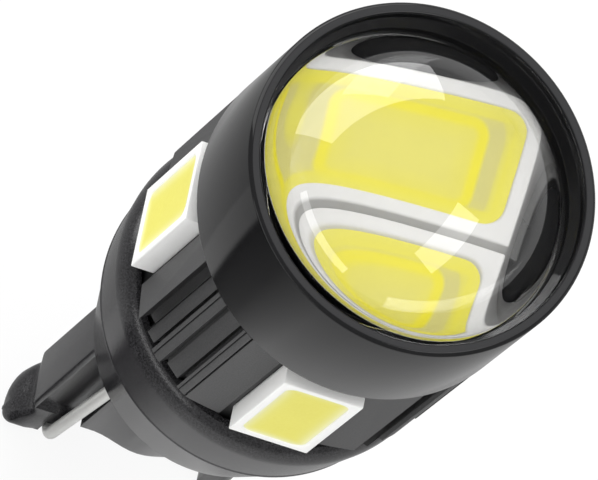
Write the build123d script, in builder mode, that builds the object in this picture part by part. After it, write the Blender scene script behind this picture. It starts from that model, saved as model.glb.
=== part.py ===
from build123d import *
import os
from math import cos, radians, sin, sqrt

os.makedirs("parts", exist_ok=True)

# A six-lamp LED bulb with a wedge base. It stands along Z with the lens up, and zero is the
# rear shoulder of the collar, where the bulb seats in its holder. Sizes are in millimetres.

# Lengths along the axis
collar_length = 7.25
window_length = 7.9
ring_length = 5.4
wedge_length = 10.8
seam_height = collar_length + window_length
rim_height = seam_height + ring_length

# The radius of the whole bulb. Other radii are steps in from it
body_radius = 6.4

# Front ring
mouth_wall = 0.37
mouth_depth = 0.45
throat_wall = 0.68
lip_depth = 0.85
lip_thickness = 0.7
ring_edge = 0.12

# Lens
dome_rise = 3.98
dome_foot = 0.1
flange_width = 0.28
flange_thickness = 0.4
lens_clearance = 0.07

# Surface-mount lamp packages
lamp_length = 5.7
lamp_width = 3.0
lamp_height = 0.9
cup_border = 0.25
cup_corner = 0.45
cup_depth = 0.45
cup_slope = 0.28
pad_thickness = 0.1
pad_length = 1.1
pad_overhang = 0.12
front_lamp_gap = 0.16
front_lamp_offset = 0.1

# Boards under the lamps
board_thickness = 0.95
side_board_width = 3.4
side_board_gap = 0.4
board_clearance = 0.05
front_board_thickness = 0.8
front_board_margin = 0.12

# Heat sink
sink_inset = 0.02
sink_flat_inset = 0.75
sink_corner_half = 1.6
lamp_face_inset = 0.16
sink_plug_inset = 1.1
sink_bore_clearance = 0.4
sink_end_gap = 0.12
sink_bevel_inset = 0.95
sink_bevel_rise = 0.85
spigot_height = 0.65
spigot_clearance = 0.05

# Ribs on each corner of the heat sink, as strips across the corner's own middle line. Each strip
# is cut in from the bulb's radius by its own depth, and what lies between two strips stands full.
rib_strips = [
    (-1.60, -1.07, 1.05),
    (-1.07, -0.62, 0.38),
    (-0.62, -0.43, 0.90),
    (-0.29, -0.23, 0.18),
    (0.09, 0.22, 0.65),
    (0.22, 0.87, 0.48),
    (0.87, 1.14, 1.05),
    (1.24, 1.29, 0.28),
    (1.53, 1.60, 0.45),
]

# Collar
collar_inset = 0.1
collar_shoulder_width = 0.35
collar_shoulder_drop = 0.9
collar_rim_edge = 0.07
collar_rim_wall = 0.33
collar_crease_height = 3.85
collar_crease_inset = 0.43
collar_back_inset = 1.5
collar_floor = 3.4
collar_step = 5.0
plug_clearance = 0.05

# Wedge
blade_width = 8.6
blade_thickness = 2.1
lobe_width = 9.7
lobe_height = 1.6
lobe_corner = 0.25
notch_height = 0.5
notch_depth = 0.25
panel_recess = 0.28
panel_slope = 35
panel_margin = 0.4
panel_tip_margin = 1.8
boss_width = 4.7
boss_thickness = 2.9
boss_crown = 3.6
boss_end_gap = 2.4
boss_end_corner = 0.35
wire_shelf = 1.0

# Contact wires
wire_diameter = 0.5
wire_clearance = 0.03
wire_spring = 0.15
wire_tip_offset = 2.92
wire_top_offset = 2.64
wire_rise = 8.3

# Driver board and what is soldered on it
driver_width = 4.2
driver_thickness = 0.8
driver_pocket = 1.0
resistor_length = 3.2
resistor_width = 1.6
resistor_height = 0.55
resistor_pitch = 2.0
resistor_rise = 3.6
rectifier_length = 3.0
rectifier_width = 2.4
rectifier_height = 1.1
rectifier_rise = 5.2

# Places worked out from the sizes above
ring_radius = body_radius
mouth_radius = body_radius - mouth_wall
throat_radius = body_radius - throat_wall
dome_radius = throat_radius - lens_clearance
sink_radius = body_radius - sink_inset
sink_flat = body_radius - sink_flat_inset
lamp_face = body_radius - lamp_face_inset
sink_plug_radius = body_radius - sink_plug_inset
sink_bore = sqrt(driver_width**2 + driver_thickness**2) / 2 + sink_bore_clearance
sink_bevel_start = body_radius - sink_bevel_inset
collar_radius = body_radius - collar_inset
collar_rim_radius = collar_radius - collar_shoulder_width
collar_bore = collar_rim_radius - collar_rim_wall
collar_crease_radius = body_radius - collar_crease_inset
collar_back_radius = body_radius - collar_back_inset
boss_length = wedge_length - boss_end_gap
lip_height = rim_height - lip_depth
lens_seat = lip_height - lip_thickness
flange_radius = dome_radius + flange_width
ring_bore = flange_radius + lens_clearance
spigot_radius = ring_bore - spigot_clearance
spigot_top = seam_height + spigot_height
front_board_top = spigot_top + front_board_thickness
board_face = lamp_face - lamp_height
channel_floor = board_face - board_thickness
channel_half = side_board_width / 2 + board_clearance
lamp_middle = (collar_length + seam_height) / 2
body_back = collar_length + sink_end_gap
dome_height = lens_seat + dome_foot
dome_sphere = (dome_radius**2 + dome_rise**2) / (2 * dome_rise)
blade_half = blade_thickness / 2
wire_radius = wire_diameter / 2
wire_line = blade_half + wire_radius + wire_clearance
wire_turn = wire_line / 2 - 0.01
shelf_height = -wedge_length + wire_shelf
shelf_half = wire_tip_offset + wire_radius + wire_clearance
driver_bottom = collar_floor - driver_pocket
bevel_end = sink_radius + plug_clearance
corner_edge = sqrt(sink_radius**2 - sink_corner_half**2)
arm_end = (corner_edge - sink_corner_half) / sqrt(2)
arm_height = (corner_edge + sink_corner_half) / sqrt(2)
lamp_normals = (180, 270, 0, 90)
side_board_bottom = collar_step + side_board_gap
side_board_length = spigot_top - side_board_bottom


def save(piece, label):
    piece.label = label
    export_step(piece, f"parts/{label}.step")


def side_plane(azimuth, distance, height):
    # A plane that faces out from the axis, with its own Y along the bulb
    across = radians(azimuth)
    normal = (cos(across), sin(across), 0)
    start = (distance * normal[0], distance * normal[1], height)
    return Plane(origin=start, x_dir=(-normal[1], normal[0], 0), z_dir=normal)


# Front ring: a turned tube with a lip that keeps the lens in
with BuildPart() as front_ring:
    with BuildSketch(Plane.XZ):
        with BuildLine():
            Polyline(
                (ring_bore, seam_height),
                (ring_radius - ring_edge / 2, seam_height),
                (ring_radius, seam_height + ring_edge / 2),
                (ring_radius, rim_height - ring_edge),
                (ring_radius - ring_edge, rim_height),
                (mouth_radius, rim_height),
                (mouth_radius - ring_edge / 2, rim_height - ring_edge / 2),
                (mouth_radius - ring_edge / 2, rim_height - mouth_depth),
                (throat_radius, lip_height),
                (throat_radius, lens_seat),
                (ring_bore, lens_seat),
                close=True,
            )
        make_face()
    revolve(axis=Axis.Z)
save(front_ring.part, "front_ring")

# Lens: a solid dome over a thin flange that bears on the back of the lip
with BuildPart() as lens:
    with BuildSketch(Plane.XZ):
        with BuildLine():
            dome = ThreePointArc(
                (0, dome_height + dome_rise),
                (
                    dome_sphere * sin(radians(30)),
                    dome_height + dome_rise - dome_sphere * (1 - cos(radians(30))),
                ),
                (dome_radius, dome_height),
            )
            Polyline(
                dome @ 1,
                (dome_radius, lens_seat),
                (flange_radius, lens_seat),
                (flange_radius, lens_seat - flange_thickness),
                (0, lens_seat - flange_thickness),
                dome @ 0,
            )
        make_face()
    revolve(axis=Axis.Z)
save(lens.part, "lens")

# Front board: a round board on the spigot of the heat sink
with BuildPart() as front_board:
    with BuildSketch(Plane.XY.offset(spigot_top)):
        Circle(ring_bore - front_board_margin)
    extrude(amount=front_board_thickness)
save(front_board.part, "front_board")

# Side boards: one in each channel of the heat sink, up to the front board
for number, azimuth in enumerate(lamp_normals, 1):
    with BuildPart() as side_board:
        with BuildSketch(side_plane(azimuth, channel_floor, side_board_bottom)):
            with Locations((0, side_board_length / 2)):
                Rectangle(side_board_width, side_board_length)
        extrude(amount=board_thickness)
    save(side_board.part, f"side_board_{number}")


# Lamps: a moulded housing with a sloped cup, the phosphor that fills the cup, and two solder pads
def make_lamp(label, seat):
    mouth_length = lamp_length - 2 * cup_border
    mouth_width = lamp_width - 2 * cup_border
    with BuildPart() as cup_fill:
        with BuildSketch(seat.offset(lamp_height)):
            RectangleRounded(mouth_width, mouth_length, cup_corner)
        with BuildSketch(seat.offset(lamp_height - cup_depth)):
            RectangleRounded(mouth_width - 2 * cup_slope, mouth_length - 2 * cup_slope, cup_corner)
        loft()
    with BuildPart() as pads:
        with BuildSketch(seat):
            with Locations((0, lamp_length / 2 - pad_length / 2 + pad_overhang)):
                Rectangle(lamp_width * 0.7, pad_length)
            with Locations((0, -lamp_length / 2 + pad_length / 2 - pad_overhang)):
                Rectangle(lamp_width * 0.7, pad_length)
        extrude(amount=pad_thickness)
    with BuildPart() as housing:
        with BuildSketch(seat):
            Rectangle(lamp_width, lamp_length)
        extrude(amount=lamp_height)
        add(cup_fill.part, mode=Mode.SUBTRACT)
        add(pads.part, mode=Mode.SUBTRACT)
    save(housing.part, f"{label}_housing")
    save(cup_fill.part, f"{label}_phosphor")
    save(pads.part, f"{label}_pads")


for number, azimuth in enumerate(lamp_normals, 1):
    make_lamp(f"side_lamp_{number}", side_plane(azimuth, board_face, lamp_middle))

front_step = (lamp_width + front_lamp_gap) / 2
for number, step in enumerate((front_step, -front_step), 1):
    middle = (0, step + front_lamp_offset, front_board_top)
    seat = Plane(origin=middle, x_dir=(0, 1, 0), z_dir=(0, 0, 1))
    make_lamp(f"front_lamp_{number}", seat)

# Heat sink: a round bar with a flat and a board channel on each side and ribs on each corner
with BuildPart() as heat_sink:
    with BuildSketch(Plane.XY.offset(body_back)):
        Circle(sink_radius)
        with BuildSketch(mode=Mode.PRIVATE) as side_cut:
            with BuildLine():
                Polyline(
                    (sink_flat, -channel_half),
                    (sink_flat, channel_half),
                    (arm_height, arm_end),
                    (2 * sink_radius, arm_end),
                    (2 * sink_radius, -arm_end),
                    (arm_height, -arm_end),
                    close=True,
                )
            make_face()
        for azimuth in lamp_normals:
            add(side_cut.sketch, rotation=azimuth, mode=Mode.SUBTRACT)
    extrude(amount=seam_height - body_back)
    # The back end is turned to a bevel, so the corners end higher than the flats
    with BuildSketch(Plane.XZ):
        with BuildLine():
            Polyline(
                (sink_bevel_start, body_back),
                (bevel_end, body_back),
                (bevel_end, body_back + sink_bevel_rise),
                close=True,
            )
        make_face()
    revolve(axis=Axis.Z, mode=Mode.SUBTRACT)
    with BuildSketch(Plane.XY.offset(collar_floor)):
        Circle(sink_plug_radius)
    extrude(amount=body_back - collar_floor)
    with BuildSketch(Plane.XY.offset(seam_height)):
        Circle(spigot_radius)
    extrude(amount=spigot_height)
    # The four board channels
    with BuildSketch(Plane.XY.offset(side_board_bottom)):
        for azimuth in lamp_normals:
            with Locations(Rotation(0, 0, azimuth) * Location((channel_floor + sink_radius / 2, 0))):
                Rectangle(sink_radius, 2 * channel_half)
    extrude(amount=side_board_length, mode=Mode.SUBTRACT)
    # The ribs between them
    with BuildSketch(Plane.XY.offset(body_back)):
        for azimuth in lamp_normals:
            for start, end, depth in rib_strips:
                middle = Location((body_radius - depth + sink_radius / 2, (start + end) / 2))
                with Locations(Rotation(0, 0, azimuth + 45) * middle):
                    Rectangle(sink_radius, end - start)
    extrude(amount=seam_height - body_back, mode=Mode.SUBTRACT)
    # The wire way through the middle
    with BuildSketch(Plane.XY.offset(collar_floor)):
        Circle(sink_bore)
    extrude(amount=spigot_top - collar_floor, mode=Mode.SUBTRACT)
save(heat_sink.part, "heat_sink")

# Base: the collar and the wedge are one moulding
with BuildPart() as base:
    with BuildSketch(Plane.XZ):
        with BuildLine():
            shoulder = TangentArc(
                (collar_radius, collar_length - collar_shoulder_drop),
                (collar_rim_radius, collar_length - collar_rim_edge),
                tangent=(0, 1),
            )
            Polyline(
                (0, collar_floor),
                (0, 0),
                (collar_back_radius, 0),
                (collar_crease_radius, collar_crease_height),
                shoulder @ 0,
            )
            Polyline(
                shoulder @ 1,
                (collar_rim_radius - collar_rim_edge, collar_length),
                (collar_bore, collar_length),
                (collar_bore, collar_step),
                (sink_plug_radius + plug_clearance, collar_step),
                (sink_plug_radius + plug_clearance, collar_floor),
                (0, collar_floor),
            )
        make_face()
    revolve(axis=Axis.Z)
    # The hole that takes the foot of the driver board and the ends of the wires
    with BuildSketch(Plane.XY.offset(driver_bottom)):
        Rectangle(2 * shelf_half, driver_thickness + 2 * wire_clearance)
    extrude(amount=driver_pocket, mode=Mode.SUBTRACT)
    # The blade, with a round-edged lobe below a notch on each edge
    with BuildSketch(Plane.XY.offset(-wedge_length)):
        SlotOverall(lobe_width, blade_thickness)
    lobe = extrude(amount=lobe_height)
    chamfer(lobe.edges().group_by(Axis.Z)[0], length=lobe_corner)
    with BuildSketch(Plane.XZ):
        with Locations((0, -(wedge_length - lobe_height) / 2)):
            Rectangle(blade_width, wedge_length - lobe_height)
        for side in (-1, 1):
            with Locations((side * blade_width / 2, -wedge_length + lobe_height + notch_height / 2)):
                Rectangle(2 * notch_depth, notch_height, mode=Mode.SUBTRACT)
    extrude(amount=blade_half, both=True)
    # The open tip, with a shelf for each wire beside the end of the boss
    with BuildSketch(Plane.XZ):
        with Locations((0, -wedge_length)):
            Rectangle(2 * shelf_half, 2 * wire_shelf)
            Rectangle(boss_width, 2 * (wedge_length - boss_length))
    extrude(amount=blade_thickness, both=True, mode=Mode.SUBTRACT)
    # The recessed panels between each edge rail and the boss
    for face in (Plane.XZ.offset(blade_half), Plane.XZ.offset(-blade_half)):
        inward = -panel_recess if face.origin.Y < 0 else panel_recess
        for side in (-1, 1):
            with BuildSketch(face):
                outer = blade_width / 2 - panel_margin
                inner = boss_width / 2 - panel_recess
                with Locations((side * (outer + inner) / 2, -(wedge_length - panel_tip_margin) / 2)):
                    Rectangle(outer - inner, wedge_length - panel_tip_margin)
            extrude(amount=inward, taper=panel_slope, mode=Mode.SUBTRACT)
    # The boss down the middle, thickest on its middle line
    with BuildSketch(Plane.XY):
        with BuildLine():
            front = ThreePointArc(
                (-boss_width / 2, -boss_thickness / 2),
                (0, -boss_crown / 2),
                (boss_width / 2, -boss_thickness / 2),
            )
            Line(front @ 1, (boss_width / 2, boss_thickness / 2))
            back = ThreePointArc(
                (boss_width / 2, boss_thickness / 2),
                (0, boss_crown / 2),
                (-boss_width / 2, boss_thickness / 2),
            )
            Line(back @ 1, front @ 0)
        make_face()
    extrude(amount=-boss_length)
    boss_end = base.edges().filter_by_position(Axis.Z, -boss_length, -boss_length)
    chamfer(boss_end.filter_by(GeomType.CIRCLE), length=boss_end_corner)
    # The way of each wire, down to the shelf
    for side in (-1, 1):
        with BuildSketch(Plane.XY.offset(driver_bottom)):
            with Locations((side * wire_tip_offset, 0)):
                Circle(wire_radius + wire_clearance)
        extrude(amount=shelf_height - driver_bottom, mode=Mode.SUBTRACT)
save(base.part, "base")

# Contact wires: from the foot of the driver board down through the wedge, round its tip and up
# its face
for number, side in enumerate((-1, 1), 1):
    tip_height = shelf_height - wire_turn
    with BuildPart() as contact_wire:
        with BuildLine():
            FilletPolyline(
                (side * wire_tip_offset, 0, collar_floor),
                (side * wire_tip_offset, 0, tip_height),
                (side * wire_tip_offset, side * wire_line, tip_height),
                (side * wire_top_offset, side * (wire_line + wire_spring), tip_height + wire_rise),
                radius=wire_turn,
            )
        with BuildSketch(Plane(origin=(side * wire_tip_offset, 0, collar_floor), z_dir=(0, 0, -1))):
            Circle(wire_radius)
        sweep()
    save(contact_wire.part, f"contact_wire_{number}")

# Driver board: it stands in the bore of the heat sink, from its wide foot in the base to the
# front board, and a wire goes up through a notch in each end of the foot
with BuildPart() as driver_board:
    with BuildSketch(Plane.XY.offset(driver_bottom)):
        Rectangle(driver_width, driver_thickness)
    extrude(amount=spigot_top - driver_bottom)
    with BuildSketch(Plane.XY.offset(driver_bottom)):
        Rectangle(2 * wire_tip_offset, driver_thickness)
        with Locations((wire_tip_offset, 0), (-wire_tip_offset, 0)):
            Circle(wire_radius, mode=Mode.SUBTRACT)
    extrude(amount=driver_pocket)
save(driver_board.part, "driver_board")

for number, side in enumerate((-1, 1), 1):
    with BuildPart() as resistor:
        with BuildSketch(Plane.XZ.offset(-driver_thickness / 2)):
            with Locations((side * resistor_pitch / 2, collar_floor + resistor_rise)):
                Rectangle(resistor_width, resistor_length)
        extrude(amount=-resistor_height)
    save(resistor.part, f"resistor_{number}")

with BuildPart() as rectifier:
    with BuildSketch(Plane.XZ.offset(driver_thickness / 2)):
        with Locations((0, collar_floor + rectifier_rise)):
            Rectangle(rectifier_length, rectifier_width)
    extrude(amount=rectifier_height)
    chamfer(rectifier.faces().sort_by(Axis.Y)[0].edges(), length=rectifier_height / 5)
save(rectifier.part, "rectifier")
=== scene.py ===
import math

import bmesh
import bpy
from mathutils import Matrix, Quaternion, Vector


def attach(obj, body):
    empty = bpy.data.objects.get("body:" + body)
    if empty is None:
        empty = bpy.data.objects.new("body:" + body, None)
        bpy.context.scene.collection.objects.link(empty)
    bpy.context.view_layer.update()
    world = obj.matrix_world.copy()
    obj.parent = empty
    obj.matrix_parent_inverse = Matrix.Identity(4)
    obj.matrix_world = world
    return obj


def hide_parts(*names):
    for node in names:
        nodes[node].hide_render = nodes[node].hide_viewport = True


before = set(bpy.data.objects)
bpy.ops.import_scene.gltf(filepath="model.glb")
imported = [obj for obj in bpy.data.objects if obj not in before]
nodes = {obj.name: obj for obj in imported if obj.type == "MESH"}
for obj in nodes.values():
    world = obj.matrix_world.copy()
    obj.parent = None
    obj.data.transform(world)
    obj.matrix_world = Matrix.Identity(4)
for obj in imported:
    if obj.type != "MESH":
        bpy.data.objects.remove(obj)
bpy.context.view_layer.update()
print("frame loaded:", len(nodes), "nodes")

mm = 0.001  # the frame is in metres, and the sizes below are in millimetres


# camera

cameraSettings = {
    "place": (-93.33, -132.5, 328.84),
    "turn": (18.1807, -20.2589, 11.7602),
    "lens": 609.35,
    "sensor": 36,
    "nearest": 0.01,
    "furthest": 20,
}


def makeCamera(settings):
    place = Vector(settings["place"]) * mm
    turn = [math.radians(angle) for angle in settings["turn"]]
    bpy.ops.object.camera_add(location=place, rotation=turn)
    camera = bpy.context.object
    camera.name = "photoCamera"
    camera.data.lens = settings["lens"]
    camera.data.sensor_width = settings["sensor"]
    camera.data.clip_start = settings["nearest"]
    camera.data.clip_end = settings["furthest"]
    bpy.context.scene.camera = camera


makeCamera(cameraSettings)
print("camera placed")


# steps for node trees


def feed(tree, value, socket):
    # a socket takes a plain value or the output of another node
    if isinstance(value, bpy.types.NodeSocket):
        tree.links.new(value, socket)
    else:
        socket.default_value = value


def addMath(tree, operation, first, second=0.0):
    node = tree.nodes.new("ShaderNodeMath")
    node.operation = operation
    feed(tree, first, node.inputs[0])
    feed(tree, second, node.inputs[1])
    return node.outputs[0]


def addRange(tree, value, old=(0.0, 1.0), new=(0.0, 1.0)):
    # a value brought from one range to another
    node = tree.nodes.new("ShaderNodeMapRange")
    for label, number in zip(("From Min", "From Max", "To Min", "To Max"), (*old, *new)):
        node.inputs[label].default_value = number
    tree.links.new(value, node.inputs["Value"])
    return node.outputs["Result"]


def addBlend(tree, factor, first, second, kind="RGBA", blend="MIX"):
    node = tree.nodes.new("ShaderNodeMix")
    node.data_type = kind
    node.blend_type = blend
    for label, value in (("Factor", factor), ("A", first), ("B", second)):
        feed(tree, value, node.inputs[label])
    return node.outputs["Result"]


def addRamp(tree, factor, steps):
    # each step: place from 0 to 1, colour with its cover
    node = tree.nodes.new("ShaderNodeValToRGB")
    points = node.color_ramp.elements
    while len(points) < len(steps):
        points.new(0.5)
    for point, (place, color) in zip(points, steps):
        point.position = place
        point.color = color
    tree.links.new(factor, node.inputs["Fac"])
    return node


# floor and light

studioSettings = {
    "floorHeight": -10.81,
    "floorSize": 3000,
    "floorColor": (0.72, 0.72, 0.72, 1),
    "floorGlow": {"Is Camera Ray": 0.9, "Is Glossy Ray": 0.6},
    # how light the floor is in reflections, by its direction from the bulb in turns from -X
    "floorShade": [
        (0.0, 0.50), (0.045, 0.53), (0.052, 0.03), (0.12, 0.17), (0.20, 0.78),
        (0.28, 0.78), (0.38, 0.62), (0.55, 0.4), (0.9, 0.38),
    ],
    # the shade comes in between these distances from the wedge, and nearer only this share of it shows
    "shadeStart": (3.8, 4.6),
    "shadeNear": 0.2,
    "worldStrength": 0.32,
    # each panel: azimuth and elevation seen from the bulb, roll, width, height, brightness,
    # and whether it shows in reflections
    "panels": {
        "windowPanel": (121, 15, 0, 640, 290, 2.15, True),
        "topPanel": (318, 48, 24, 330, 150, 2.3, True),
        "stripPanel": (220, 13, 0, 430, 42, 2.5, True),
        "fillPanel": (220, 38, 0, 460, 460, 1.1, False),
        "overheadPanel": (60, 74, 0, 420, 420, 5.2, False),
    },
    "distance": 420,
    "aim": (0, 0, 17),
}
white = (1, 1, 1, 1)


def paintFloor(tree, settings):
    # light to the camera, matte to the rest, and in reflections its shade follows the direction
    tree.nodes.clear()
    link = tree.links.new
    path = tree.nodes.new("ShaderNodeLightPath")
    where = tree.nodes.new("ShaderNodeTexCoord")
    around = tree.nodes.new("ShaderNodeTexGradient")
    around.gradient_type = "RADIAL"
    link(where.outputs["Object"], around.inputs["Vector"])
    steps = [(place, (level, level, level, 1)) for place, level in settings["floorShade"]]
    shade = addRamp(tree, around.outputs["Fac"], steps)
    away = tree.nodes.new("ShaderNodeVectorMath")
    away.operation = "LENGTH"
    link(where.outputs["Object"], away.inputs[0])
    start = [distance * mm for distance in settings["shadeStart"]]
    far = addRange(tree, away.outputs["Value"], start, (settings["shadeNear"], 1.0))
    shaded = addMath(tree, "MULTIPLY", far, path.outputs["Is Glossy Ray"])
    matte = tree.nodes.new("ShaderNodeBsdfDiffuse")
    glow = tree.nodes.new("ShaderNodeEmission")
    for color, target in ((settings["floorColor"], matte), (white, glow)):
        tone = addBlend(tree, shaded, color, shade.outputs["Color"], blend="MULTIPLY")
        link(tone, target.inputs["Color"])
    glows = settings["floorGlow"].items()
    shares = [addMath(tree, "MULTIPLY", path.outputs[ray], part) for ray, part in glows]
    mix = tree.nodes.new("ShaderNodeMixShader")
    link(addMath(tree, "ADD", *shares), mix.inputs["Fac"])
    link(matte.outputs[0], mix.inputs[1])
    link(glow.outputs[0], mix.inputs[2])
    output = tree.nodes.new("ShaderNodeOutputMaterial")
    link(mix.outputs[0], output.inputs["Surface"])


def makeFloor(settings):
    size, height = settings["floorSize"] * mm, settings["floorHeight"] * mm
    bpy.ops.mesh.primitive_plane_add(size=size, location=(0, 0, height))
    floor = bpy.context.object
    floor.name = "studioFloor"
    material = bpy.data.materials.new("Pale Floor")
    material.use_nodes = True
    paintFloor(material.node_tree, settings)
    floor.data.materials.append(material)


def makeRoom(settings):
    # the camera sees white, and everything else is lit by a dimmer room
    world = bpy.data.worlds.new("Studio")
    bpy.context.scene.world = world
    world.use_nodes = True
    tree = world.node_tree
    tree.nodes.clear()
    mix = tree.nodes.new("ShaderNodeMixShader")
    for strength, socket in ((settings["worldStrength"], mix.inputs[1]), (1.0, mix.inputs[2])):
        background = tree.nodes.new("ShaderNodeBackground")
        background.inputs["Color"].default_value = white
        background.inputs["Strength"].default_value = strength
        tree.links.new(background.outputs[0], socket)
    path = tree.nodes.new("ShaderNodeLightPath")
    tree.links.new(path.outputs["Is Camera Ray"], mix.inputs["Fac"])
    output = tree.nodes.new("ShaderNodeOutputWorld")
    tree.links.new(mix.outputs[0], output.inputs["Surface"])


def makePanels(settings):
    aim = Vector(settings["aim"]) * mm
    for name, panel in settings["panels"].items():
        azimuth, elevation, roll, width, height, brightness, mirrored = panel
        turn, tilt = math.radians(azimuth), math.radians(elevation)
        level = math.cos(tilt)
        outward = Vector((math.cos(turn) * level, math.sin(turn) * level, math.sin(tilt)))
        bpy.ops.object.light_add(type="AREA", location=aim + outward * settings["distance"] * mm)
        lamp = bpy.context.object
        lamp.name = name
        lamp.visible_glossy = mirrored
        lamp.visible_transmission = mirrored
        lamp.data.shape = "RECTANGLE"
        lamp.data.size = width * mm
        lamp.data.size_y = height * mm
        lamp.data.energy = brightness * math.pi * lamp.data.size * lamp.data.size_y
        facing = (-outward).to_track_quat("-Z", "Y")
        lamp.rotation_euler = (facing @ Quaternion((0, 0, 1), math.radians(roll))).to_euler()


bpy.context.scene.view_settings.view_transform = "Standard"
makeFloor(studioSettings)
makeRoom(studioSettings)
makePanels(studioSettings)
print("studio lit")


# shared materials

grainSettings = {
    "grainScale": 9000.0,
    "patchScale": 250.0,
    "fineDetail": 3,
    "fineRoughness": 0.6,
    "slowDetail": 4,
    "speckRange": (0.34, 0.66),
}


def newGroup(name, inputs, outputs):
    group = bpy.data.node_groups.new(name, "ShaderNodeTree")
    for label, kind, value in inputs:
        socket = group.interface.new_socket(label, in_out="INPUT", socket_type=kind)
        if value is not None:
            socket.default_value = value
    for label, kind in outputs:
        group.interface.new_socket(label, in_out="OUTPUT", socket_type=kind)
    return group, group.nodes.new("NodeGroupInput"), group.nodes.new("NodeGroupOutput")


def makeGrainGroup(settings):
    # Height is a fine grain for a bump, Patch a slow change for colour and roughness,
    # and Speck the fine grain once more for a colour, with more contrast
    group, start, end = newGroup(
        "Surface Grain",
        [
            ("Vector", "NodeSocketVector", None),
            ("Grain Scale", "NodeSocketFloat", settings["grainScale"]),
            ("Patch Scale", "NodeSocketFloat", settings["patchScale"]),
        ],
        [("Height", "NodeSocketFloat"), ("Patch", "NodeSocketFloat"), ("Speck", "NodeSocketFloat")],
    )
    fine = group.nodes.new("ShaderNodeTexNoise")
    fine.inputs["Detail"].default_value = settings["fineDetail"]
    fine.inputs["Roughness"].default_value = settings["fineRoughness"]
    slow = group.nodes.new("ShaderNodeTexNoise")
    slow.inputs["Detail"].default_value = settings["slowDetail"]
    link = group.links.new
    for noise, scale in ((fine, "Grain Scale"), (slow, "Patch Scale")):
        link(start.outputs["Vector"], noise.inputs["Vector"])
        link(start.outputs[scale], noise.inputs["Scale"])
    link(fine.outputs["Fac"], end.inputs["Height"])
    link(slow.outputs["Fac"], end.inputs["Patch"])
    link(addRange(group, fine.outputs["Fac"], settings["speckRange"]), end.inputs["Speck"])
    return group


grainGroup = makeGrainGroup(grainSettings)


def newMaterial(name, shaderValues):
    material = bpy.data.materials.new(name)
    material.use_nodes = True
    shader = material.node_tree.nodes["Principled BSDF"]
    for label, value in shaderValues.items():
        shader.inputs[label].default_value = value
    return material


def grainFinish(name, level, grain, patch, dark, light, rough, bump, metal=0, speck=0.3):
    # the grain changes colour and roughness a little and dents the surface. level is the gloss,
    # rough its range, bump its strength and depth, and speck how much of the fine grain is in the colour
    material = newMaterial(name, {"Metallic": metal, "Specular IOR Level": level})
    tree = material.node_tree
    shader = tree.nodes["Principled BSDF"]
    where = tree.nodes.new("ShaderNodeTexCoord")
    surface = tree.nodes.new("ShaderNodeGroup")
    surface.node_tree = grainGroup
    feed(tree, where.outputs["Object"], surface.inputs["Vector"])
    feed(tree, grain, surface.inputs["Grain Scale"])
    feed(tree, patch, surface.inputs["Patch Scale"])
    slow = surface.outputs["Patch"]
    share = addBlend(tree, speck, slow, surface.outputs["Speck"], kind="FLOAT")
    feed(tree, addBlend(tree, share, (*dark, 1), (*light, 1)), shader.inputs["Base Color"])
    feed(tree, addRange(tree, slow, new=rough), shader.inputs["Roughness"])
    strength, depth = bump
    dents = tree.nodes.new("ShaderNodeBump")
    feed(tree, strength, dents.inputs["Strength"])
    feed(tree, depth * mm, dents.inputs["Distance"])
    feed(tree, surface.outputs["Height"], dents.inputs["Height"])
    feed(tree, dents.outputs["Normal"], shader.inputs["Normal"])
    return material


def paintedColor(material):
    # what the colour of a finish comes from so far
    return material.node_tree.nodes["Principled BSDF"].inputs["Base Color"].links[0].from_socket


def followFacing(tree, heights, values=(0.0, 1.0)):
    # a value that follows how far a face looks forward
    facing = tree.nodes.new("ShaderNodeNewGeometry")
    split = tree.nodes.new("ShaderNodeSeparateXYZ")
    tree.links.new(facing.outputs["Normal"], split.inputs["Vector"])
    return addRange(tree, split.outputs["Z"], heights, values)


# steps that every piece uses. A piece is made in millimetres and brought to metres at the end


def onlySelect(*pieces):
    bpy.ops.object.select_all(action="DESELECT")
    for piece in pieces:
        piece.select_set(True)
    bpy.context.view_layer.objects.active = pieces[0]


def justAdded(name):
    piece = bpy.context.object
    piece.name = name
    onlySelect(piece)
    bpy.ops.object.transform_apply(location=True, rotation=True, scale=True)
    return piece


def addBox(name, low, high):
    middle = [(a + b) / 2 for a, b in zip(low, high)]
    size = [b - a for a, b in zip(low, high)]
    bpy.ops.object.select_all(action="DESELECT")
    bpy.ops.mesh.primitive_cube_add(size=1, location=middle, scale=size)
    return justAdded(name)


def addRod(name, radius, bottom, top, place=(0, 0), sides=64):
    bpy.ops.object.select_all(action="DESELECT")
    middle = (place[0], place[1], (bottom + top) / 2)
    bpy.ops.mesh.primitive_cylinder_add(vertices=sides, radius=radius, depth=top - bottom, location=middle)
    return justAdded(name)


def editPiece(piece, kind="FACE"):
    onlySelect(piece)
    bpy.ops.object.mode_set(mode="EDIT")
    bpy.ops.mesh.select_mode(type=kind)
    bpy.ops.mesh.select_all(action="DESELECT")


def selectFaces(piece, test):
    mesh = bmesh.from_edit_mesh(piece.data)
    for face in mesh.faces:
        face.select_set(bool(test(face)))
    mesh.select_flush_mode()
    bmesh.update_edit_mesh(piece.data)


def selectEdges(piece, test):
    mesh = bmesh.from_edit_mesh(piece.data)
    for edge in mesh.edges:
        edge.select_set(False)
    for edge in mesh.edges:
        if test(edge):
            edge.select_set(True)
    mesh.select_flush_mode()
    bmesh.update_edit_mesh(piece.data)


def spans(edge, axis, least):
    # True for an edge that runs further than this along an axis
    first, last = edge.verts
    return abs(first.co[axis] - last.co[axis]) > least


def looks(face, axis, side, least=0.9):
    # True for a face that looks along an axis, to its end (1) or its start (-1)
    return face.normal[axis] * side > least


def mergePoints():
    bpy.ops.mesh.select_all(action="SELECT")
    bpy.ops.mesh.remove_doubles(threshold=0.0001)


def leaveEdit():
    bpy.ops.object.mode_set(mode="OBJECT")


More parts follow.
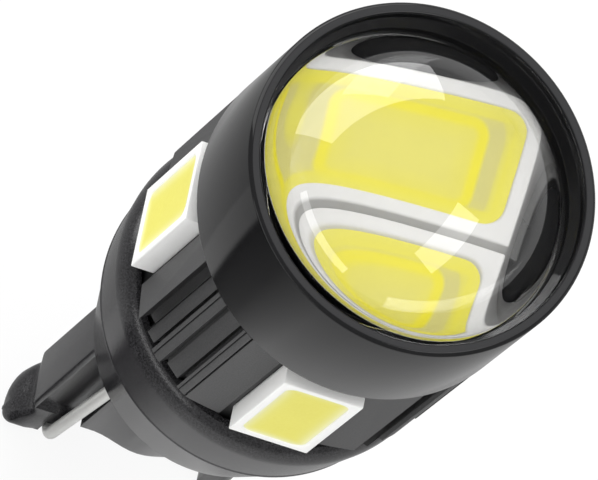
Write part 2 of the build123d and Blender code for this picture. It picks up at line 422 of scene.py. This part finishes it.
def useModifier(piece, kind, **settings):
    onlySelect(piece)
    change = piece.modifiers.new(kind.title(), kind)
    for label, value in settings.items():
        setattr(change, label, value)
    bpy.ops.object.modifier_apply(modifier=change.name)


def combine(piece, tools, operation):
    onlySelect(*tools)
    if len(tools) > 1:
        bpy.ops.object.join()
    useModifier(piece, "BOOLEAN", operation=operation, solver="EXACT", use_self=True, object=tools[0])
    bpy.data.objects.remove(tools[0])


def softenEdges(piece, width, angle=30, segments=2):
    useModifier(
        piece,
        "BEVEL",
        width=width,
        segments=segments,
        limit_method="ANGLE",
        angle_limit=math.radians(angle),
        use_clamp_overlap=True,
    )


def copyTurned(piece, turns):
    # copies with their own mesh, turned about the bulb's axis
    copies = []
    for turn in turns:
        copy = piece.copy()
        copy.data = piece.data.copy()
        bpy.context.scene.collection.objects.link(copy)
        copy.data.transform(Matrix.Rotation(math.radians(turn), 4, "Z"))
        copies.append(copy)
    return copies


def turnProfile(name, profile, segments=160):
    # a circle is extruded and scaled from each point of the profile to the next
    bpy.ops.object.select_all(action="DESELECT")
    radius, height = profile[0]
    bpy.ops.mesh.primitive_circle_add(vertices=segments, radius=radius, location=(0, 0, height))
    piece = justAdded(name)
    editPiece(piece, "EDGE")
    bpy.ops.mesh.select_all(action="SELECT")
    for nextRadius, nextHeight in profile[1:]:
        bpy.ops.mesh.extrude_region_move(TRANSFORM_OT_translate={"value": (0, 0, nextHeight - height)})
        share = nextRadius / radius
        bpy.ops.transform.resize(value=(share, share, 1), center_override=(0, 0, nextHeight))
        radius, height = nextRadius, nextHeight
    # a profile that comes back to its start is joined there, and an open end gets a face
    mergePoints()
    bpy.ops.mesh.select_all(action="DESELECT")
    bpy.ops.mesh.select_non_manifold(extend=False)
    if any(edge.select for edge in bmesh.from_edit_mesh(piece.data).edges):
        bpy.ops.mesh.edge_face_add()
    bpy.ops.mesh.select_all(action="SELECT")
    bpy.ops.mesh.normals_make_consistent(inside=False)
    leaveEdit()
    return piece


def finishPiece(piece, material, replaced, angle=32):
    onlySelect(piece)
    piece.scale = (mm, mm, mm)
    bpy.ops.object.transform_apply(location=True, rotation=True, scale=True)
    bpy.ops.object.shade_smooth_by_angle(angle=math.radians(angle))
    piece.data.materials.clear()
    piece.data.materials.append(material)
    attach(piece, "root")
    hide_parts(*replaced)
    print("made", piece.name, len(piece.data.polygons), "faces")


def arcPoints(middle, radius, start, end, steps):
    points = []
    for step in range(steps + 1):
        angle = math.radians(start + (end - start) * step / steps)
        points.append((middle[0] + radius * math.cos(angle), middle[1] + radius * math.sin(angle)))
    return points


# front ring

ringSettings = {
    "profile": [
        (6.00, 15.15), (6.34, 15.15), (6.40, 15.21), (6.40, 17.8), (6.40, 20.43), (6.28, 20.55),
        (6.03, 20.55), (5.97, 20.49), (5.97, 20.10), (5.72, 19.70), (5.72, 19.00), (6.00, 19.00),
    ],
    "edge": 0.025,
    # painted light: faces that look forward are given a lighter colour than the wall
    "facing": (0.9, 1.0),
    "paintedFrontLight": (0.026, 0.026, 0.027),
}
ringBlack = grainFinish(
    "Ring Black", 0.30, grain=15000, patch=240, dark=(0.006, 0.006, 0.0065), light=(0.010, 0.010, 0.0105),
    rough=(0.05, 0.09), bump=(0.08, 0.01),
)


# painted light: the colour turns lighter on faces that look forward
def paintFrontLight(material, settings):
    tree = material.node_tree
    share = followFacing(tree, settings["facing"])
    color = addBlend(tree, share, paintedColor(material), (*settings["paintedFrontLight"], 1))
    tree.links.new(color, tree.nodes["Principled BSDF"].inputs["Base Color"])


paintFrontLight(ringBlack, ringSettings)
profile = ringSettings["profile"]
ringPiece = turnProfile("frontRingTurned", profile + profile[:1])
softenEdges(ringPiece, ringSettings["edge"])
finishPiece(ringPiece, ringBlack, ["front_ring"])


# lens

lensSettings = {
    "radius": 5.65,
    "rise": 3.98,
    "seat": 19.1,
    "flange": 5.93,
    "flangeTop": 19.0,
    "back": 18.6,
    "steps": 48,
    "segments": 192,
    "shader": {
        "Transmission Weight": 1, "Roughness": 0.0, "IOR": 1.53, "Coat Weight": 0.7, "Coat Roughness": 0.0,
    },
}


def makeLens(settings):
    radius, rise, seat = settings["radius"], settings["rise"], settings["seat"]
    sphere = (radius**2 + rise**2) / (2 * rise)
    middle = seat + rise - sphere
    start = math.degrees(math.asin((seat - middle) / sphere))
    dome = arcPoints((0, middle), sphere, start, 90, settings["steps"])
    dome[-1] = (0, seat + rise)
    flange, top = settings["flange"], settings["flangeTop"]
    foot = [(flange, settings["back"]), (flange, top), (radius, top)]
    return turnProfile("lensDome", foot + dome, settings["segments"])


lensClear = newMaterial("Lens Clear", lensSettings["shader"])
lensPiece = makeLens(lensSettings)
finishPiece(lensPiece, lensClear, ["lens"])
lensPiece.visible_shadow = False


# lamps: a housing with a cup and the phosphor in it, modelled once, lying at zero with its length along Y

lampSettings = {
    "length": 5.7,
    "width": 3.0,
    "height": 0.9,
    "border": 0.21,
    "corner": 0.45,
    "cornerSteps": 6,
    "depth": 0.45,
    "slope": 0.28,
    "edge": 0.045,
    # the tool of the cup stands out this much above the rim
    "cupClear": 0.2,
    # the fill lies this much below the rim, and its top steps in and down three times
    "sink": 0.03,
    "dish": [(0.06, 0.02), (0.12, 0.02), (0.14, 0.01)],
    # millimetres that the map of the cup's colours is wide
    "mapSpan": 10,
    # name of the node, azimuth its face looks to
    "sides": {"side_lamp_1": 180, "side_lamp_2": 270, "side_lamp_3": 0, "side_lamp_4": 90},
    "sideFace": 5.34,
    "sideMiddle": 11.2,
    "fronts": {"front_lamp_1": 1.68, "front_lamp_2": -1.48},
    "frontSeat": 16.6,
}


def makeCupFill(name, settings, drop, grow):
    # a block with round corners and sloped sides that fills the cup
    halfWidth = settings["width"] / 2 - settings["border"]
    halfLength = settings["length"] / 2 - settings["border"]
    top = settings["height"] - drop
    bottom = settings["height"] - settings["depth"]
    piece = addBox(name, (-halfWidth, -halfLength, bottom), (halfWidth, halfLength, top + grow))
    editPiece(piece, "EDGE")
    selectEdges(piece, lambda edge: spans(edge, 2, 0.1))
    bpy.ops.mesh.bevel(offset=settings["corner"], segments=settings["cornerSteps"], affect="EDGES")
    bpy.ops.mesh.select_mode(type="FACE")
    selectFaces(piece, lambda face: looks(face, 2, -1))
    slope = settings["slope"]
    shares = ((halfWidth - slope) / halfWidth, (halfLength - slope) / halfLength, 1)
    bpy.ops.transform.resize(value=shares, center_override=(0, 0, bottom))
    leaveEdit()
    return piece


def makeHousing(settings):
    halfWidth, halfLength = settings["width"] / 2, settings["length"] / 2
    low, high = (-halfWidth, -halfLength, 0), (halfWidth, halfLength, settings["height"])
    piece = addBox("lampHousing", low, high)
    combine(piece, [makeCupFill("cupTool", settings, 0, settings["cupClear"])], "DIFFERENCE")
    softenEdges(piece, settings["edge"], angle=35, segments=3)
    return piece


def makePhosphor(settings):
    # the fill creeps a little up the wall and is lowest in its middle
    piece = makeCupFill("lampPhosphor", settings, settings["sink"], 0)
    editPiece(piece)
    selectFaces(piece, lambda face: looks(face, 2, 1))
    for inset, drop in settings["dish"]:
        bpy.ops.mesh.inset(thickness=inset)
        bpy.ops.transform.translate(value=(0, 0, -drop))
    leaveEdit()
    layer = piece.data.uv_layers.new(name="cupMap")
    for loop in piece.data.loops:
        place = piece.data.vertices[loop.vertex_index].co / settings["mapSpan"]
        layer.data[loop.index].uv = (place.x + 0.5, place.y + 0.5)
    return piece


def seatLamp(piece, name, seat):
    copy = piece.copy()
    copy.data = piece.data.copy()
    copy.name = name
    bpy.context.scene.collection.objects.link(copy)
    copy.data.transform(seat)
    return copy


housingWhite = grainFinish(
    "Housing White", 0.3, grain=9000, patch=700, dark=(0.87, 0.87, 0.855), light=(0.92, 0.92, 0.905),
    rough=(0.36, 0.46), bump=(0.12, 0.02),
)
# painted shade: the same white plastic as the side housings, made darker for the front lamps under the lens
housingShadedWhite = grainFinish(
    "Housing White Painted Shade", 0.3, grain=9000, patch=700, dark=(0.78, 0.775, 0.76), light=(0.84, 0.835, 0.82),
    rough=(0.36, 0.46), bump=(0.12, 0.02),
)


def makeZoneGroup(span):
    # Distance is in millimetres from a rectangle with round corners, and negative inside it
    group, start, end = newGroup(
        "Rounded Zone",
        [
            ("Vector", "NodeSocketVector", None),
            ("Middle X", "NodeSocketFloat", 0.0),
            ("Middle Y", "NodeSocketFloat", 0.0),
            ("Half Width", "NodeSocketFloat", 1.0),
            ("Half Length", "NodeSocketFloat", 1.0),
            ("Corner", "NodeSocketFloat", 0.3),
        ],
        [("Distance", "NodeSocketFloat")],
    )
    split = group.nodes.new("ShaderNodeSeparateXYZ")
    group.links.new(start.outputs["Vector"], split.inputs["Vector"])
    corner = start.outputs["Corner"]
    steps = []
    for axis, middle, half in (("X", "Middle X", "Half Width"), ("Y", "Middle Y", "Half Length")):
        place = addMath(group, "MULTIPLY", addMath(group, "SUBTRACT", split.outputs[axis], 0.5), span)
        away = addMath(group, "ABSOLUTE", addMath(group, "SUBTRACT", place, start.outputs[middle]))
        straight = addMath(group, "SUBTRACT", start.outputs[half], corner)
        steps.append(addMath(group, "SUBTRACT", away, straight))
    squares = [addMath(group, "POWER", addMath(group, "MAXIMUM", step, 0.0), 2.0) for step in steps]
    outside = addMath(group, "SQRT", addMath(group, "ADD", *squares))
    inside = addMath(group, "MINIMUM", addMath(group, "MAXIMUM", *steps), 0.0)
    distance = addMath(group, "SUBTRACT", addMath(group, "ADD", outside, inside), corner)
    group.links.new(distance, end.inputs["Distance"])
    return group


zoneGroup = makeZoneGroup(lampSettings["mapSpan"])


def addZone(tree, where, place, under, zones):
    # colours follow the distance from one rectangle. The last number of a zone is its cover
    zone = tree.nodes.new("ShaderNodeGroup")
    zone.node_tree = zoneGroup
    tree.links.new(where, zone.inputs["Vector"])
    for label, value in place.items():
        zone.inputs[label].default_value = value
    spread = addRange(tree, zone.outputs["Distance"], (-1.0, 1.0))
    steps = [((distance + 1) / 2, (*color, cover)) for distance, color, cover in zones]
    ramp = addRamp(tree, spread, steps)
    return addBlend(tree, ramp.outputs["Alpha"], under, ramp.outputs["Color"])


phosphorSettings = {
    "finish": {
        "level": 0.12, "grain": 6500, "patch": 900, "dark": (0.74, 0.68, 0.11), "light": (0.80, 0.755, 0.165),
        "rough": (0.35, 0.5), "bump": (0.1, 0.02),
    },
    "cup": {"Half Width": 1.29, "Half Length": 2.64, "Corner": 0.45},
    "chip": {"Middle X": -0.10, "Middle Y": -0.18, "Half Width": 0.93, "Half Length": 1.6, "Corner": 0.35},
    "sideCup": [
        (-0.85, (0.77, 0.72, 0.12), 0.0), (-0.50, (0.78, 0.74, 0.19), 0.5), (-0.26, (0.81, 0.79, 0.34), 0.8),
        (-0.10, (0.86, 0.85, 0.58), 0.95), (0.0, (0.87, 0.865, 0.68), 1.0),
    ],
    "frontCup": [
        (-0.60, (0.80, 0.73, 0.10), 0.0), (-0.42, (0.80, 0.73, 0.10), 0.2), (-0.34, (0.82, 0.75, 0.09), 0.9),
        (-0.05, (0.82, 0.76, 0.14), 0.9), (0.0, (0.80, 0.76, 0.30), 0.9),
    ],
    "frontChip": [
        (-0.60, (0.78, 0.72, 0.17), 0.9), (-0.22, (0.80, 0.73, 0.13), 0.9), (-0.10, (0.86, 0.77, 0.05), 1.0),
        (0.02, (0.86, 0.77, 0.05), 1.0), (0.10, (0.66, 0.61, 0.22), 0.95), (0.36, (0.66, 0.61, 0.22), 0.95),
        (0.48, (0.80, 0.73, 0.10), 0.0),
    ],
}


def makePhosphorMaterial(name, settings, layers):
    material = grainFinish(name, **settings["finish"])
    tree = material.node_tree
    where = tree.nodes.new("ShaderNodeUVMap")
    where.uv_map = "cupMap"
    color = paintedColor(material)
    for place, zones in layers:
        color = addZone(tree, where.outputs["UV"], settings[place], color, settings[zones])
    tree.links.new(color, tree.nodes["Principled BSDF"].inputs["Base Color"])
    return material


sidePhosphor = makePhosphorMaterial("Side Phosphor", phosphorSettings, [("cup", "sideCup")])
frontLayers = [("chip", "frontChip"), ("cup", "frontCup")]
frontPhosphor = makePhosphorMaterial("Front Phosphor", phosphorSettings, frontLayers)


def lampSeats(settings):
    seats = {}
    for name, azimuth in settings["sides"].items():
        turn = math.radians(azimuth)
        outward = Vector((math.cos(turn), math.sin(turn), 0))
        across = Vector((-math.sin(turn), math.cos(turn), 0))
        seat = Matrix((across, Vector((0, 0, 1)), outward)).transposed().to_4x4()
        seat.translation = outward * settings["sideFace"] + Vector((0, 0, settings["sideMiddle"]))
        seats[name] = seat
    for name, step in settings["fronts"].items():
        seat = Matrix(((0, 1, 0), (-1, 0, 0), (0, 0, 1))).transposed().to_4x4()
        seat.translation = (0, step, settings["frontSeat"])
        seats[name] = seat
    return seats


def makeLamps(settings):
    housing = makeHousing(settings)
    phosphor = makePhosphor(settings)
    for name, seat in lampSeats(settings).items():
        aside = name.startswith("side")
        shell = seatLamp(housing, name + "_shell", seat)
        finishPiece(shell, housingWhite if aside else housingShadedWhite, [name + "_housing"])
        fill = seatLamp(phosphor, name + "_fill", seat)
        finishPiece(fill, sidePhosphor if aside else frontPhosphor, [name + "_phosphor"])
    bpy.data.objects.remove(housing)
    bpy.data.objects.remove(phosphor)


makeLamps(lampSettings)
print("lamps seated")


# heat sink

sinkSettings = {
    "radius": 6.38,
    "back": 7.37,
    "front": 15.15,
    "flat": 5.65,
    "channelHalf": 1.75,
    "channelFloor": 4.39,
    "cornerHalf": 1.6,
    # the bevel at the back: radius it starts at, radius where it has risen by bevelRise, reach of its tool
    "bevelStart": 5.45,
    "bevelEnd": 6.43,
    "bevelRise": 0.85,
    "bevelReach": 7.5,
    "bore": 2.54,
    "spigot": 5.95,
    "spigotTop": 15.8,
    "plug": 5.3,
    "plugBottom": 3.4,
    "overlap": 0.1,
    "boardBottom": 5.4,
    "edge": 0.018,
    # how far the cutting tools reach out, past the ends, and forward for the bore
    "toolReach": 8,
    "toolMargin": 1,
    "boreTop": 20,
    # each strip across a corner: from, to, height it is cut down to
    "ribs": [
        (-1.60, -1.07, 5.35), (-1.07, -0.62, 6.02), (-0.62, -0.43, 5.50), (-0.29, -0.23, 6.22),
        (0.09, 0.22, 5.75), (0.22, 0.87, 5.92), (0.87, 1.14, 5.35), (1.24, 1.29, 6.12), (1.53, 1.60, 5.95),
    ],
}
sinkBlack = grainFinish(
    "Sink Black", 0.15, grain=16000, patch=300, dark=(0.048, 0.048, 0.049), light=(0.092, 0.092, 0.093),
    rough=(0.38, 0.48), bump=(0.35, 0.02), speck=0.6,
)


def makeSideTool(settings, low, high):
    # what is cut away on one side: the flat with its two sloped arms, the channel and the ribs of one corner
    reach, flatHeight = settings["toolReach"], settings["flat"]
    cornerHalf, channelHalf = settings["cornerHalf"], settings["channelHalf"]
    rim = math.sqrt(settings["radius"] ** 2 - cornerHalf**2)
    armEnd = (rim - cornerHalf) / math.sqrt(2)
    armHeight = (rim + cornerHalf) / math.sqrt(2)
    flat = addBox("flatTool", (flatHeight, -armEnd, low), (reach, armEnd, high))
    editPiece(flat, "EDGE")
    inner = flatHeight + 0.01
    selectEdges(flat, lambda edge: all(end.co.x < inner for end in edge.verts) and spans(edge, 2, 1))
    bpy.ops.transform.resize(value=(1, channelHalf / armEnd, 1), center_override=(0, 0, 0))
    leaveEdit()
    shelf = addBox("shelfTool", (armHeight, -armEnd, low), (reach, armEnd, high))
    combine(flat, [shelf], "UNION")
    start = (settings["channelFloor"], -channelHalf, settings["boardBottom"])
    channel = addBox("channelTool", start, (reach, channelHalf, high))
    strips = []
    for first, last, floor in settings["ribs"]:
        strips.append(addBox("stripTool", (floor, first, low), (reach, last, high)))
    onlySelect(*strips)
    bpy.ops.object.join()
    strips[0].data.transform(Matrix.Rotation(math.radians(45), 4, "Z"))
    onlySelect(flat, channel, strips[0])
    bpy.ops.object.join()
    return flat


def makeHeatSink(settings):
    back, front, overlap = settings["back"], settings["front"], settings["overlap"]
    low, high = back - settings["toolMargin"], front + settings["toolMargin"]
    piece = addRod("heatSinkBar", settings["radius"], back, front, sides=192)
    tool = makeSideTool(settings, low, high)
    cutters = [tool] + copyTurned(tool, (90, 180, 270))
    plug = addRod("plug", settings["plug"], settings["plugBottom"], back + overlap, sides=128)
    spigot = addRod("spigot", settings["spigot"], front - overlap, settings["spigotTop"], sides=128)
    start, reach = settings["bevelStart"], settings["bevelReach"]
    rise = (reach - start) * settings["bevelRise"] / (settings["bevelEnd"] - start)
    outline = [(start, back), (reach, back + rise), (reach, low), (start, low), (start, back)]
    combine(piece, [turnProfile("coneTool", outline, segments=192)], "DIFFERENCE")
    combine(piece, [plug, spigot], "UNION")
    bore = addRod("boreTool", settings["bore"], 0, settings["boreTop"], sides=96)
    combine(piece, cutters + [bore], "DIFFERENCE")
    softenEdges(piece, settings["edge"], angle=25)
    return piece


sinkPiece = makeHeatSink(sinkSettings)
finishPiece(sinkPiece, sinkBlack, ["heat_sink"], angle=25)


# base: the collar is turned, the blade of the wedge is shaped row by row, and the two are cut and joined

baseSettings = {
    "collar": [
        (4.90, 0.0), (5.93, 3.78), (5.99, 3.82), (6.00, 3.88), (5.975, 3.95), (6.30, 6.35),
        (6.28, 6.56), (6.22, 6.77), (6.13, 6.95), (6.02, 7.10), (5.95, 7.18), (5.88, 7.25),
        (5.62, 7.25), (5.62, 5.0), (5.35, 5.0), (5.35, 3.4), (0, 3.4),
    ],
    "collarSegments": 176,
    # the boss goes on this far into the collar, like the blade
    "rootTop": 0.5,
    "bladeThick": 1.05,
    # from the root to the tip: height, half width, reach of the front corner and its round,
    # and how far the back corner is rounded in width and in thickness
    "bladeRows": [
        (0.50, 4.30, 1.05, 0.14, 0.14, 0.14), (-8.10, 4.30, 1.05, 0.14, 0.14, 0.14),
        (-8.25, 4.29, 1.05, 0.15, 0.14, 0.14), (-8.45, 4.25, 1.05, 0.16, 0.15, 0.15),
        (-8.65, 4.19, 1.05, 0.18, 0.16, 0.17), (-8.85, 4.13, 1.05, 0.20, 0.18, 0.21),
        (-9.00, 4.10, 1.06, 0.22, 0.21, 0.27), (-9.15, 4.11, 1.07, 0.24, 0.25, 0.36),
        (-9.28, 4.17, 1.09, 0.26, 0.31, 0.48), (-9.40, 4.26, 1.11, 0.28, 0.38, 0.63),
        (-9.52, 4.36, 1.13, 0.30, 0.46, 0.82), (-9.66, 4.47, 1.15, 0.33, 0.56, 1.05),
        (-9.82, 4.58, 1.17, 0.36, 0.66, 1.27), (-10.00, 4.67, 1.19, 0.38, 0.74, 1.45),
        (-10.20, 4.74, 1.20, 0.40, 0.80, 1.58), (-10.40, 4.77, 1.20, 0.40, 0.83, 1.65),
        (-10.58, 4.77, 1.19, 0.40, 0.85, 1.68), (-10.70, 4.74, 1.15, 0.40, 0.85, 1.66),
        (-10.77, 4.67, 1.08, 0.38, 0.82, 1.58), (-10.80, 4.56, 0.97, 0.34, 0.78, 1.45),
    ],
    "cornerSteps": 8,
    # the bead along the narrow sides: half its width, and how far it stands out
    "parting": (0.05, 0.035),
    # the front corner's swelling runs out between these distances from the middle
    "swellRun": (3.75, 3.35),
    "bladeSoft": 0.06,
    "bossHalf": (2.35, 1.45),
    "bossCrown": 0.34,
    "bossSpread": 1.9,
    "bossCuts": 15,
    "bossEnd": -8.4,
    "bossRound": 0.32,
    "bossRoundSteps": 5,
    # the opened tip: half width, height it is cut down to. Its tools go on past the tip
    # and into each other
    "shelf": (3.20, -9.8),
    "tipMargin": 1,
    "tipOverlap": 0.5,
    # each sloped panel: inner and outer edge, lower end, upper end, depth, width of its slope
    "panel": (2.07, 4.16, -9.0, 0.1, 0.28, 0.30),
    # the hole of a wire: distance from the middle, radius, top, and how far its tool overlaps the slot
    "wire": (2.92, 0.28, 2.4, 0.1),
    # the slot above the holes, in the floor of the collar: half width, half depth, top
    "pocket": (3.20, 0.43, 4),
    # tools reach this far past the blade in thickness, and down to here
    "toolReach": 3,
    "toolBottom": -12,
    "edge": 0.035,
    # the gloss of the tapered back of the collar and of all the rest, by how far a face looks back
    "facing": (-0.24, -0.16),
    "gloss": (0.02, 0.6),
}
baseBlack = grainFinish(
    "Base Black", 0.60, grain=13000, patch=260, dark=(0.005, 0.005, 0.0055), light=(0.036, 0.035, 0.038),
    rough=(0.10, 0.14), bump=(0.3, 0.02), speck=0.8,
)


def dullBack(material, settings):
    tree = material.node_tree
    gloss = followFacing(tree, settings["facing"], settings["gloss"])
    tree.links.new(gloss, tree.nodes["Principled BSDF"].inputs["Specular IOR Level"])


dullBack(baseBlack, baseSettings)


def bladeRow(settings, half, front, turn, backWide, backDeep):
    # the right half of the outline, counter-clockwise, and the same turned half round for the left half
    thick, steps = settings["bladeThick"], settings["cornerSteps"]
    bead, draft = settings["parting"]
    side, back = half - draft, backDeep - thick
    points = []
    for step in range(steps + 1):
        angle = math.radians(90 * step / steps - 90)
        points.append((side - backWide + backWide * math.cos(angle), back + backDeep * math.sin(angle)))
    middle = (back + front - turn) / 2
    points += [(half, middle - bead), (half, middle + bead)]
    points += arcPoints((side - turn, front - turn), turn, 0, 90, steps)
    outer, inner = settings["swellRun"]
    points += [(outer, front), (inner, thick)]
    return points + [(-x, -y) for x, y in points]


def shapeBlade(settings):
    # a cylinder with as many sides as an outline has points, and each ring of it moved to its outline
    levels = settings["bladeRows"]
    rows = [bladeRow(settings, *level[1:]) for level in levels]
    count = len(rows[0])
    blade = addRod("bladeBlock", 1, -0.5, 0.5, sides=count)
    editPiece(blade, "EDGE")
    selectEdges(blade, lambda edge: spans(edge, 2, 0.1))
    bpy.ops.mesh.subdivide(number_cuts=len(levels) - 2)
    mesh = bmesh.from_edit_mesh(blade.data)
    for point in mesh.verts:
        row = round((0.5 - point.co.z) * (len(levels) - 1))
        place = round(math.atan2(point.co.y, point.co.x) * count / math.tau) % count
        point.co = (*rows[row][place], levels[row][0])
    bmesh.update_edit_mesh(blade.data)
    leaveEdit()
    return blade


def makePanelTools(settings):
    # the four sloped panels of the blade, two on each face
    inner, outer, bottom, top, depth, slope = settings["panel"]
    thick, width, height = settings["bladeThick"], outer - inner, top - bottom
    shares = ((width - 2 * slope) / width, 1, (height - 2 * slope) / height)
    tools = []
    for side in (-1, 1):
        for face in (-1, 1):
            low, high = sorted((side * inner, side * outer))
            near, far = sorted((face * (thick - depth), face * (thick + depth)))
            panel = addBox("panelTool", (low, near, bottom), (high, far, top))
            editPiece(panel)
            selectFaces(panel, lambda part: looks(part, 1, -face))
            bpy.ops.transform.resize(value=shares, center_override=((low + high) / 2, 0, top))
            leaveEdit()
            tools.append(panel)
    return tools


def makeBlade(settings):
    blade = shapeBlade(settings)
    reach, tip = settings["toolReach"], settings["bladeRows"][-1][0]
    shelf, shelfTop = settings["shelf"]
    boss = settings["bossHalf"][0]
    notchStart = shelfTop - settings["tipOverlap"]
    tools = [
        addBox("tipTool", (-shelf, -reach, tip - settings["tipMargin"]), (shelf, reach, shelfTop)),
        addBox("tipTool", (-boss, -reach, notchStart), (boss, reach, settings["bossEnd"])),
    ]
    combine(blade, tools + makePanelTools(settings), "DIFFERENCE")
    softenEdges(blade, settings["bladeSoft"], angle=26, segments=3)
    return blade


def makeBoss(settings):
    wide, thick = settings["bossHalf"]
    end = settings["bossEnd"]
    boss = addBox("bossBlock", (-wide, -thick, end), (wide, thick, settings["rootTop"]))
    editPiece(boss, "EDGE")
    selectEdges(boss, lambda edge: spans(edge, 0, 1))
    bpy.ops.mesh.subdivide(number_cuts=settings["bossCuts"])
    mesh = bmesh.from_edit_mesh(boss.data)
    for point in mesh.verts:
        share = min(abs(point.co.x) / settings["bossSpread"], 1)
        swell = settings["bossCrown"] * (0.5 + 0.5 * math.cos(math.pi * share))
        point.co.y += math.copysign(swell, point.co.y)
    bmesh.update_edit_mesh(boss.data)
    bpy.ops.mesh.select_all(action="DESELECT")

    def framesEnd(edge):
        # True along the outline of the end face
        atEnd = all(point.co.z < end + 0.01 for point in edge.verts)
        return atEnd and len({looks(face, 2, -1) for face in edge.link_faces}) == 2

    selectEdges(boss, framesEnd)
    bpy.ops.mesh.bevel(offset=settings["bossRound"], segments=settings["bossRoundSteps"], affect="EDGES")
    leaveEdit()
    return boss


def makeBase(settings):
    # the blade reaches into the turned collar, and both get the holes of the wires
    collar = turnProfile("baseMoulding", settings["collar"], settings["collarSegments"])
    blade = makeBlade(settings)
    combine(blade, [makeBoss(settings)], "UNION")
    place, radius, top, overlap = settings["wire"]
    wide, thick, pocketTop = settings["pocket"]
    for piece in (collar, blade):
        tools = []
        if piece is collar:
            tools.append(addBox("pocketTool", (-wide, -thick, top), (wide, thick, pocketTop)))
        for side in (-1, 1):
            middle = (side * place, 0)
            tools.append(addRod("wireTool", radius, settings["toolBottom"], top + overlap, middle, sides=24))
        combine(piece, tools, "DIFFERENCE")
        softenEdges(piece, settings["edge"], angle=26)
    onlySelect(collar, blade)
    bpy.ops.object.join()
    return collar


basePiece = makeBase(baseSettings)
finishPiece(basePiece, baseBlack, ["base"], angle=28)


# contact wires: a round wire bent round the tip of the wedge, with rounded ends

wireSettings = {
    "radius": 0.245,
    "bend": 0.655,
    "path": [(2.92, 0, 3.38), (2.92, 0, -10.455), (2.92, 1.33, -10.455), (2.64, 1.48, -2.165)],
    "steps": 8,
    "roundSteps": 6,
    "endRound": 0.1,
}
wireTin = grainFinish(
    "Wire Tin", 0.5, grain=6000, patch=900, dark=(0.68, 0.68, 0.66), light=(0.78, 0.78, 0.76),
    rough=(0.35, 0.48), bump=(0.15, 0.02), metal=0.5,
)


def bendPath(points, radius, steps):
    # each corner of the path becomes an arc
    path = [Vector(points[0])]
    for before, corner, after in zip(points, points[1:], points[2:]):
        corner = Vector(corner)
        back = (Vector(before) - corner).normalized()
        ahead = (Vector(after) - corner).normalized()
        half = back.angle(ahead) / 2
        reach = radius / math.tan(half)
        middle = corner + (back + ahead).normalized() * (radius / math.sin(half))
        first = corner + back * reach - middle
        last = corner + ahead * reach - middle
        for step in range(steps + 1):
            path.append(middle + first.slerp(last, step / steps).normalized() * first.length)
    path.append(Vector(points[-1]))
    return path


def makeWire(name, settings, side):
    corners = [(side * x, side * y, z) for x, y, z in settings["path"]]
    path = bendPath(corners, settings["bend"], settings["steps"])
    bpy.ops.curve.primitive_bezier_curve_add()
    curve = bpy.context.object
    curve.name = name
    curve.data.splines.clear()
    line = curve.data.splines.new("POLY")
    line.points.add(len(path) - 1)
    for point, place in zip(line.points, path):
        point.co = (*place, 1)
    curve.data.dimensions = "3D"
    curve.data.bevel_depth = settings["radius"]
    curve.data.bevel_resolution = settings["roundSteps"]
    curve.data.use_fill_caps = True
    onlySelect(curve)
    bpy.ops.object.convert(target="MESH")
    wire = bpy.context.object
    editPiece(wire)
    mergePoints()
    leaveEdit()
    softenEdges(wire, settings["endRound"], angle=50, segments=3)
    return wire


for number, side in ((1, -1), (2, 1)):
    wirePiece = makeWire(f"contactWireBent_{number}", wireSettings, side)
    finishPiece(wirePiece, wireTin, [f"contact_wire_{number}"], angle=40)


# boards: each is a plate with broken edges, and every pad is a low mound of solder

boardSettings = {
    "front": [(5.80, 15.80), (5.88, 15.84), (5.88, 16.56), (5.84, 16.60), (0, 16.60)],
    "frontSegments": 128,
    "sideHalf": 1.70,
    "sideSpan": (5.40, 15.80),
    "sideDepth": (4.39, 5.34),
    "edge": 0.03,
    "padHalf": 1.05,
    "padSpan": (1.87, 2.97),
    "padHeight": 0.1,
    "padRound": 0.03,
}
boardBlack = grainFinish(
    "Board Black", 0.4, grain=8000, patch=500, dark=(0.006, 0.006, 0.007), light=(0.012, 0.012, 0.012),
    rough=(0.35, 0.5), bump=(0.15, 0.02),
)
solderTin = grainFinish(
    "Solder Tin", 0.5, grain=5000, patch=1200, dark=(0.60, 0.60, 0.60), light=(0.72, 0.72, 0.71),
    rough=(0.18, 0.35), bump=(0.2, 0.03), metal=1,
)


def makeBoards(settings):
    disc = turnProfile("frontBoardDisc", settings["front"], settings["frontSegments"])
    finishPiece(disc, boardBlack, ["front_board"])
    inner, outer = settings["sideDepth"]
    bottom, top = settings["sideSpan"]
    half = settings["sideHalf"]
    plate = addBox("sideBoardPlate", (inner, -half, bottom), (outer, half, top))
    softenEdges(plate, settings["edge"])
    plates = copyTurned(plate, lampSettings["sides"].values())
    bpy.data.objects.remove(plate)
    for number, piece in enumerate(plates, 1):
        piece.name = f"sideBoardPlate_{number}"
        finishPiece(piece, boardBlack, [f"side_board_{number}"])


def makePads(settings):
    near, far = settings["padSpan"]
    half = settings["padHalf"]
    pair = []
    for low, high in ((near, far), (-far, -near)):
        pad = addBox("padMound", (-half, low, 0), (half, high, settings["padHeight"]))
        softenEdges(pad, settings["padRound"], segments=3)
        pair.append(pad)
    onlySelect(*pair)
    bpy.ops.object.join()
    for name, seat in lampSeats(lampSettings).items():
        piece = seatLamp(pair[0], name + "_solder", seat)
        finishPiece(piece, solderTin, [name + "_pads"])
    bpy.data.objects.remove(pair[0])


makeBoards(boardSettings)
makePads(boardSettings)

partBlack = grainFinish(
    "Part Black", 0.5, grain=12000, patch=600, dark=(0.010, 0.010, 0.011), light=(0.020, 0.020, 0.020),
    rough=(0.3, 0.45), bump=(0.2, 0.02),
)
cadFinish = {"driver_board": boardBlack, "rectifier": partBlack, "resistor": partBlack}
for name, node in nodes.items():
    if node.hide_render:
        continue
    chosen = next(finish for start, finish in cadFinish.items() if name.startswith(start))
    for slot in node.material_slots:
        slot.material = chosen
print("finishes on the nodes that stay")
